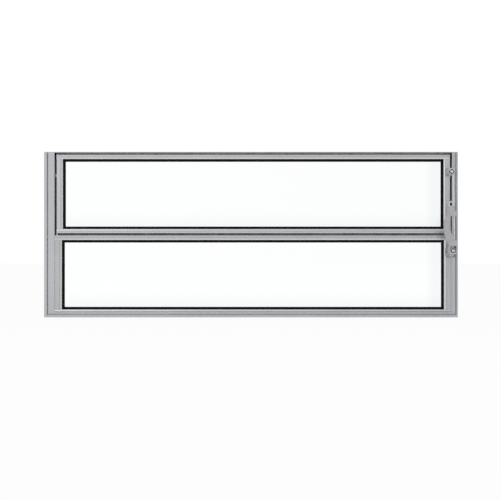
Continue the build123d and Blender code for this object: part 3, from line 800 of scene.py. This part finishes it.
class AddGaskets(bpy.types.Operator):
    """Rubber gaskets with a sealing lip along the metal and a slope down to the glass"""

    bl_idname = "pivot_window.add_gaskets"
    bl_label = "Gaskets"

    def execute(self, context):
        finish = context.scene.window_finish
        gasket = context.scene.window_gasket
        material = rubber(
            "gasket_rubber", finish.rubber_colour, finish.rubber_roughness, finish.gasket_sheen)
        for node, body, outward in GASKETS:
            low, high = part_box(node)
            thickness = high[1] - low[1]
            glass = high[1] if outward < 0 else low[1]
            across, rise = self.section(gasket, self.strip_width(node), thickness)
            shell = framed_strip(across, glass + outward * rise, low, high)
            piece = make_piece(f"{node}_rubber", [shell], body, material)
            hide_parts(node)
        return {"FINISHED"}

    def strip_width(self, node):
        """Width of a strip, read from the CAD mesh as the height of its lowest bar."""
        mesh = frame["nodes"][node].data
        points = np.empty(len(mesh.vertices) * 3)
        mesh.vertices.foreach_get("co", points)
        heights = np.unique(np.round(points.reshape(-1, 3)[:, 2], 5))
        gaps = np.diff(heights)
        return heights[np.argmax(gaps)] - heights[0]

    def section(self, gasket, reach, thickness):
        """Closed section. The top runs level over the foot, up and down over the lip as a raised cosine, and
        then falls to the edge as a cubic; the bottom lies flat on the glass."""
        across = np.linspace(0.0, reach, GASKET_POINTS)
        over_lip = np.clip((across - gasket.foot) / gasket.lip_width, 0.0, 1.0)
        lip = gasket.lip_rise * 0.5 * (1.0 - np.cos(2.0 * np.pi * over_lip))
        slope_start = gasket.foot + gasket.lip_width
        fall = (thickness - gasket.edge) * smooth_step(across, slope_start, reach)
        top = thickness + lip - fall
        bottom = np.zeros_like(across)
        return np.concatenate([across, across[::-1]]), np.concatenate([bottom, top[::-1]])


class AddMeetingSeal(bpy.types.Operator):
    """Rubber bulb seal under the sash, behind the gap over the transom; its dark grey also darkens that gap
    as painted shade
    """

    bl_idname = "pivot_window.add_meeting_seal"
    bl_label = "Meeting seal"

    def execute(self, context):
        finish = context.scene.window_finish
        gasket = context.scene.window_gasket
        # Painted shade: the bulb's dark grey darkens the gap over the transom.
        material = rubber("bulb_rubber", finish.bulb_and_gap_shade_colour, finish.rubber_roughness, finish.gasket_sheen)
        low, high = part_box("sash_bead_bottom")
        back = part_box("sash_right_stile")[1][1]
        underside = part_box("sash_bottom_rail")[0][2] + gasket.drip_reach
        across, rise = self.section(gasket, back, underside)
        shell = straight_strip(across, rise, low[0], high[0])
        make_piece("meeting_seal", [shell], "sash", material)
        return {"FINISHED"}

    def section(self, gasket, back, underside):
        """Closed section: a flat foot under the rail, and below it the round of a bulb, which starts and ends
        at the foot."""
        turn = np.pi * np.linspace(BULB_START, -1.0 - BULB_START, BULB_POINTS)
        bulb = gasket.bulb / 2
        middle = back - gasket.bulb_inset
        near = middle - gasket.bulb
        far = middle + gasket.bulb
        foot = underside - gasket.bulb_foot
        drop = foot - bulb * np.sin(turn[0])
        across = np.concatenate([[near, far, far], middle + bulb * np.cos(turn), [near]])
        rise = np.concatenate([[underside, underside, foot], drop + bulb * np.sin(turn), [foot]])
        return across, rise


class AddKnuckles(bpy.types.Operator):
    """Ball knuckles at both ends of the link rod, each with a dark nylon seat ring in a groove in front,
    which also darkens the groove as painted shade
    """

    bl_idname = "pivot_window.add_knuckles"
    bl_label = "Ball knuckles"

    def execute(self, context):
        finish = context.scene.window_finish
        gear = context.scene.window_gear
        metal = cast_metal("cast_knuckle", finish.knuckle_colour, finish.knuckle_roughness)
        seats = []
        for node, from_top in (("link_top_knuckle", True), ("link_bottom_knuckle", False)):
            low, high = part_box(node)
            ball = (high[1] - low[1]) / 2
            height = high[2] - ball if from_top else low[2] + ball
            centre = ((low[0] + high[0]) / 2, (low[1] + high[1]) / 2, height)
            along, radius = self.profile((high[0] - low[0]) / 2, ball, gear.bore / 2)
            radius = radius - self.groove(gear, along, radius)
            shell = turned_ring(along, radius, centre, ALONG_WINDOW, BALL_SPOKES)
            piece = make_piece(f"{node}_ball", [shell], "rod", metal)
            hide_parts(node)
            face = math.sqrt(ball * ball - gear.groove * gear.groove)
            along, radius = round_profile(face - gear.seat_sink, gear.groove, gear.seat)
            seats.append(turned_ring(along, radius, centre, INTO_ROOM, RING_SPOKES))
        # Partly a nylon seat, partly painted shade: the dark rings darken the grooves in the balls.
        nylon = dark_nylon("seat_nylon_and_groove_shade", finish.nylon_colour)
        make_piece("knuckle_seat_shade_rings", seats, "rod", nylon)
        return {"FINISHED"}

    def profile(self, half_width, ball, bore):
        """Closed profile: a circle of the ball's radius between the two flat ends, and the bore back through
        it."""
        side = np.linspace(-half_width, half_width, BALL_POINTS)
        circle = np.sqrt(ball * ball - side * side)
        rim = np.linspace(bore, circle[-1], BALL_RIM_POINTS)[1:-1]
        end = np.full(len(rim), half_width)
        along = np.concatenate([side, end, [half_width, -half_width], -end])
        radius = np.concatenate([circle, rim[::-1], [bore, bore], rim])
        return along, radius

    def groove(self, gear, along, radius):
        """Depth cut from the ball at each spoke and profile point: a raised cosine of the distance from the
        line that runs from front to back through the ball's centre, on the front half and outside the bore
        only."""
        angle = spoke_angles(BALL_SPOKES)[:, None]
        off_line = np.hypot(along, radius * np.sin(angle))
        share = np.clip((off_line - gear.groove) / gear.groove_width, -1.0, 1.0)
        on_ball = (np.cos(angle) < 0.0) & (radius > gear.bore)
        return np.where(on_ball, gear.groove_depth * 0.5 * (1.0 + np.cos(np.pi * share)), 0.0)


class AddEyeRim(bpy.types.Operator):
    """Raised rim round the pull eye of the handle, in the beads' colour, which is brightened as painted
    highlight
    """

    bl_idname = "pivot_window.add_eye_rim"
    bl_label = "Eye rim"

    def execute(self, context):
        finish = context.scene.window_finish
        gear = context.scene.window_gear
        eye = next(mount for mount in frame["record"]["mounts"] if mount["name"] == "pull_eye")
        hole = eye["dims"]["r_mm"] / MM_PER_M
        face = eye["dims"]["length_mm"] / MM_PER_M / 2
        along, radius = round_profile(face, hole + gear.eye_margin + gear.eye_rim / 2, gear.eye_rim)
        shell = turned_ring(along, radius, eye["pos_m"], eye["axis"], RING_SPOKES)
        # Painted highlight: the rim takes the beads' brightened colour.
        metal = cast_metal("eye_rim_metal", finish.bead_highlight_colour, finish.eye_rim_roughness)
        make_piece("eye_rim", [shell], "lever", metal)
        return {"FINISHED"}


class AddRivets(bpy.types.Operator):
    """Turned pins with domed heads in the crank, the bracket and the lever"""

    bl_idname = "pivot_window.add_rivets"
    bl_label = "Riveted pins"

    def execute(self, context):
        finish = context.scene.window_finish
        gear = context.scene.window_gear
        for node, body in RIVETED_PINS:
            low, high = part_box(node)
            centre = tuple((a + b) / 2 for a, b in zip(low, high))
            shaft = (gear.bracket_shaft if body == "frame" else gear.shaft) / 2
            along, radius = self.profile(high[0] - low[0], (high[2] - low[2]) / 2, shaft, gear.head)
            rings = np.repeat(along[1:-1, None], RIVET_SPOKES, axis=1)
            spans = np.repeat(radius[1:-1, None], RIVET_SPOKES, axis=1)
            shell = polar_shell(rings, spans, along[0], along[-1], centre, ALONG_WINDOW)
            steel = turned_steel(f"turned_{node}", finish.steel_colour, centre)
            piece = make_piece(f"{node}_rivet", [shell], body, steel)
            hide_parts(node)
        return {"FINISHED"}

    def profile(self, length, head_radius, shaft, head):
        """Half outline from end to end: a domed head as a quarter ellipse, a short rim, the shaft, and the
        same head the other way round."""
        turn = np.linspace(0.0, np.pi / 2, DOME_POINTS)
        dome = head * (1.0 - RIVET_RIM)
        head_end = head - length / 2
        start = np.concatenate([dome * (1.0 - np.cos(turn)) - length / 2, [head_end, head_end]])
        start_radius = np.concatenate([head_radius * np.sin(turn), [head_radius, shaft]])
        along = np.concatenate([start, -start[::-1]])
        return along, np.concatenate([start_radius, start_radius[::-1]])


class AddScrews(bpy.types.Operator):
    """Cross-recess screws in the base plates of the gear, and in the jambs' sides where the members end"""

    bl_idname = "pivot_window.add_screws"
    bl_label = "Screws"

    def execute(self, context):
        finish = context.scene.window_finish
        screw = context.scene.window_screw
        steel = cast_metal("screw_steel", finish.steel_colour, finish.screw_roughness)
        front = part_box("sash_right_stile")[0][1] - screw.plate
        ups = (screw.edge_inset - screw.plate_height, -screw.edge_inset)

        crank_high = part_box("sash_crank")[1]
        crank_places = [(crank_high[0] - screw.edge_inset, front, crank_high[2] + up) for up in ups]
        crank_heads = [self.head(screw.head, screw.rise, place, INTO_ROOM) for place in crank_places]
        make_piece("crank_screws", crank_heads, "sash", steel)

        bracket_low, bracket_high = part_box("lever_bracket")
        bracket_sides = (bracket_low[0] + screw.edge_inset, bracket_high[0] - screw.edge_inset)
        bracket_places = [(x, front, bracket_high[2] + up) for x in bracket_sides for up in ups]
        bracket_heads = [self.head(screw.head, screw.rise, place, INTO_ROOM) for place in bracket_places]
        make_piece("bracket_screws", bracket_heads, "frame", steel)

        member_boxes = [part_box(member) for member in LEVEL_FRAME]
        jamb_heads = [
            self.head(
                screw.flush_head,
                screw.flush_rise,
                (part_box(jamb)[side][0], low[1] + screw.member_inset, (low[2] + high[2]) / 2),
                (outward, 0, 0),
            )
            for jamb, side, outward in (("left_jamb", 0, -1), ("right_jamb", 1, 1))
            for low, high in member_boxes
        ]
        make_piece("jamb_screws", jamb_heads, "frame", steel)
        return {"FINISHED"}

    def head(self, diameter, rise, place, axis):
        """Head on a polar grid: a shallow sphere cap with a rounded rim, less a cross whose arms are smooth
        steps in the two directions across the axis."""
        outer = diameter / 2
        angle = spoke_angles(SCREW_SPOKES)
        distance = np.linspace(outer, outer / SCREW_RINGS, SCREW_RINGS)[:, None] * np.ones(SCREW_SPOKES)
        right = np.abs(distance * np.cos(angle))
        up = np.abs(distance * np.sin(angle))
        reach = diameter * CROSS_REACH
        cross = np.maximum(self.arm(diameter, right, up), self.arm(diameter, up, right))
        crown = rise * np.sqrt(np.clip(1.0 - (distance / outer) ** 2 * CROWN_ROUNDING, 0.0, 1.0))
        depth = rise * CROSS_DEPTH * (1.0 - CROSS_FALL * distance / reach).clip(CROSS_LEAST, 1.0)
        height = crown - depth * cross
        along = np.vstack([np.zeros((1, SCREW_SPOKES)), height])
        radius = np.vstack([np.full((1, SCREW_SPOKES), outer), distance])
        return polar_shell(along, radius, 0.0, height[-1].mean(), place, axis)

    def arm(self, diameter, lengthwise, sideways):
        """One bar of the cross: 1 within its half width and its reach, falling smoothly to 0 beyond them."""
        half_width = diameter * CROSS_ARM
        reach = diameter * CROSS_REACH
        soft = half_width * CROSS_SOFTNESS
        within_width = smooth_step(-sideways, -half_width - soft, -half_width)
        return within_width * smooth_step(-lengthwise, -reach - soft, -reach)


class SetStage(bpy.types.Operator):
    """Pale floor, soft studio light and the camera in front of the window"""

    bl_idname = "pivot_window.set_stage"
    bl_label = "Stage"

    def execute(self, context):
        stage = context.scene.window_stage
        self.floor(context, stage)
        self.world(context, stage)
        target = Vector((0.0, 0.0, stage.aim_height))
        self.lamp(context, "key_lamp", stage.key_place, target, stage.key_size, stage.key_power)
        self.lamp(context, "fill_lamp", stage.fill_place, target, stage.fill_size, stage.fill_power)
        self.camera(context, stage)
        context.scene.view_settings.view_transform = "Standard"
        return {"FINISHED"}

    def rays(self, nodes, links, *kinds):
        """1 for rays of the kinds named, 0 for the rest."""
        path = nodes.new("ShaderNodeLightPath")
        seen = path.outputs[kinds[0]]
        for kind in kinds[1:]:
            either = nodes.new("ShaderNodeMath")
            either.operation = "MAXIMUM"
            links.new(seen, either.inputs[0])
            links.new(path.outputs[kind], either.inputs[1])
            seen = either.outputs["Value"]
        return seen

    def blend(self, nodes, links, factor, first, second):
        """First shader where the factor is 0, second where it is 1."""
        mix = nodes.new("ShaderNodeMixShader")
        links.new(factor, mix.inputs["Fac"])
        links.new(first, mix.inputs[1])
        links.new(second, mix.inputs[2])
        return mix.outputs["Shader"]

    def floor(self, context, stage):
        """Level floor under the sill: a square grid of points at height 0."""
        side = np.linspace(-stage.floor_reach, stage.floor_reach, FLOOR_POINTS)
        across, run = np.meshgrid(side, side, indexing="ij")
        points = np.stack([across, run, np.zeros_like(run)], axis=-1).reshape(-1, 3)
        count = len(side)
        row, column = np.meshgrid(np.arange(count - 1), np.arange(count - 1), indexing="ij")
        corner = (row * count + column).reshape(-1)
        faces = np.stack([corner, corner + count, corner + count + 1, corner + 1], axis=-1)
        mesh = bpy.data.meshes.new("pale_floor")
        mesh.from_pydata(points.tolist(), [], faces.tolist())
        mesh.materials.append(self.floor_material(stage))
        floor = bpy.data.objects.new("pale_floor", mesh)
        context.scene.collection.objects.link(floor)

    def floor_material(self, stage):
        """Matt floor that keeps a shadow, mixed with plain white in the view and, less, in gloss."""
        material = bpy.data.materials.new("pale_floor")
        material.use_nodes = True
        nodes = material.node_tree.nodes
        links = material.node_tree.links
        nodes.clear()
        matt = nodes.new("ShaderNodeBsdfDiffuse")
        matt.inputs["Color"].default_value = tinted(stage.floor_colour)
        glow = nodes.new("ShaderNodeEmission")
        mirrored = nodes.new("ShaderNodeMath")
        mirrored.operation = "MULTIPLY"
        mirrored.inputs[1].default_value = stage.floor_gloss
        links.new(self.rays(nodes, links, "Is Glossy Ray"), mirrored.inputs[0])
        share = nodes.new("ShaderNodeMath")
        share.operation = "MULTIPLY_ADD"
        share.inputs[1].default_value = stage.floor_glow
        links.new(self.rays(nodes, links, "Is Camera Ray", "Is Transmission Ray"), share.inputs[0])
        links.new(mirrored.outputs["Value"], share.inputs[2])
        floor = self.blend(
            nodes, links, share.outputs["Value"], matt.outputs["BSDF"], glow.outputs["Emission"])
        output = nodes.new("ShaderNodeOutputMaterial")
        links.new(floor, output.inputs["Surface"])
        return material

    def world(self, context, stage):
        """White where it is seen; in gloss white behind the window and the room's tones, left to right,
        before it; an even ambient elsewhere."""
        world = bpy.data.worlds.new("studio")
        world.use_nodes = True
        nodes = world.node_tree.nodes
        links = world.node_tree.links
        nodes.clear()
        mirrored = nodes.new("ShaderNodeBackground")
        links.new(self.room_tones(nodes, links, stage), mirrored.inputs["Color"])
        white = nodes.new("ShaderNodeBackground")
        white.inputs["Color"].default_value = grey(1.0)
        even = nodes.new("ShaderNodeBackground")
        even.inputs["Color"].default_value = grey(1.0)
        even.inputs["Strength"].default_value = stage.ambient
        in_gloss = self.blend(
            nodes, links, self.rays(nodes, links, "Is Glossy Ray"),
            even.outputs["Background"], mirrored.outputs["Background"])
        in_view = self.blend(
            nodes, links, self.rays(nodes, links, "Is Camera Ray", "Is Transmission Ray"),
            in_gloss, white.outputs["Background"])
        output = nodes.new("ShaderNodeOutputWorld")
        links.new(in_view, output.inputs["Surface"])
        context.scene.world = world

    def room_tones(self, nodes, links, stage):
        """Brightness by direction: bright, dim and bright again from left to right in front of the window,
        fading to white behind it."""
        direction = nodes.new("ShaderNodeTexCoord")
        parts = nodes.new("ShaderNodeSeparateXYZ")
        links.new(direction.outputs["Generated"], parts.inputs["Vector"])
        side = nodes.new("ShaderNodeMapRange")
        side.inputs["From Min"].default_value = -1.0
        side.inputs["From Max"].default_value = 1.0
        links.new(parts.outputs["X"], side.inputs["Value"])
        room = nodes.new("ShaderNodeValToRGB")
        stops = room.color_ramp.elements
        stops[0].position = BRIGHT_LEFT
        stops[0].color = grey(stage.room_bright)
        stops[1].position = BRIGHT_RIGHT
        stops[1].color = grey(stage.room_bright)
        for position in DIM_SPAN:
            stops.new(position).color = grey(stage.room_dim)
        links.new(side.outputs["Result"], room.inputs["Fac"])
        depth = nodes.new("ShaderNodeMapRange")
        depth.inputs["From Min"].default_value = ROOM_FRONT
        depth.inputs["From Max"].default_value = ROOM_BACK
        depth.inputs["To Max"].default_value = 1.0
        links.new(parts.outputs["Y"], depth.inputs["Value"])
        links.new(room.outputs["Color"], depth.inputs["To Min"])
        return depth.outputs["Result"]

    def lamp(self, context, name, place, target, size, power):
        """Rectangular soft lamp aimed at a point."""
        data = bpy.data.lights.new(name, "AREA")
        data.shape = "RECTANGLE"
        data.size, data.size_y = size
        data.energy = power
        lamp = bpy.data.objects.new(name, data)
        lamp.location = place
        lamp.rotation_euler = (target - Vector(place)).to_track_quat("-Z", "Y").to_euler()
        context.scene.collection.objects.link(lamp)

    def camera(self, context, stage):
        """Level camera square to the window; the lens gives the picture its width at the lights' front
        face."""
        data = bpy.data.cameras.new("camera")
        data.sensor_fit = "HORIZONTAL"
        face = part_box("sash_right_stile")[0][1]
        data.lens = data.sensor_width * (stage.camera_distance + face) / stage.view_width
        camera = bpy.data.objects.new("camera", data)
        camera.location = (stage.camera_side, -stage.camera_distance, stage.camera_height)
        camera.rotation_euler = (math.pi / 2, 0.0, 0.0)
        context.scene.collection.objects.link(camera)
        context.scene.camera = camera


class WindowPanel(bpy.types.Panel):
    """Settings and steps of the pivot window"""

    bl_idname = "VIEW3D_PT_pivot_window"
    bl_label = "Pivot window"
    bl_space_type = "VIEW_3D"
    bl_region_type = "UI"
    bl_category = "Pivot window"

    def draw(self, context):
        layout = self.layout
        for group in SETTINGS:
            box = layout.box()
            settings = getattr(context.scene, group)
            for name in settings.__annotations__:
                box.prop(settings, name)
        for step in STEPS:
            layout.operator(step.bl_idname)


SETTINGS = {
    "window_finish": FinishSettings,
    "window_gasket": GasketSettings,
    "window_gear": GearSettings,
    "window_screw": ScrewSettings,
    "window_stage": StageSettings,
}
STEPS = (
    DressExtrusions,
    DressGlazing,
    DressGear,
    AddGaskets,
    AddMeetingSeal,
    AddKnuckles,
    AddEyeRim,
    AddRivets,
    AddScrews,
    SetStage,
)


def register():
    for group in SETTINGS.values():
        bpy.utils.register_class(group)
    for step in STEPS + (WindowPanel,):
        bpy.utils.register_class(step)
    for name, group in SETTINGS.items():
        setattr(bpy.types.Scene, name, bpy.props.PointerProperty(type=group))


def unregister():
    for name in SETTINGS:
        delattr(bpy.types.Scene, name)
    for step in (WindowPanel,) + STEPS[::-1]:
        bpy.utils.unregister_class(step)
    for group in SETTINGS.values():
        bpy.utils.unregister_class(group)


def main():
    register()
    bpy.ops.pivot_window.dress_extrusions()
    bpy.ops.pivot_window.dress_glazing()
    bpy.ops.pivot_window.dress_gear()
    bpy.ops.pivot_window.add_gaskets()
    bpy.ops.pivot_window.add_meeting_seal()
    bpy.ops.pivot_window.add_knuckles()
    bpy.ops.pivot_window.add_eye_rim()
    bpy.ops.pivot_window.add_rivets()
    bpy.ops.pivot_window.add_screws()
    bpy.ops.pivot_window.set_stage()


if __name__ == "__main__":
    main()
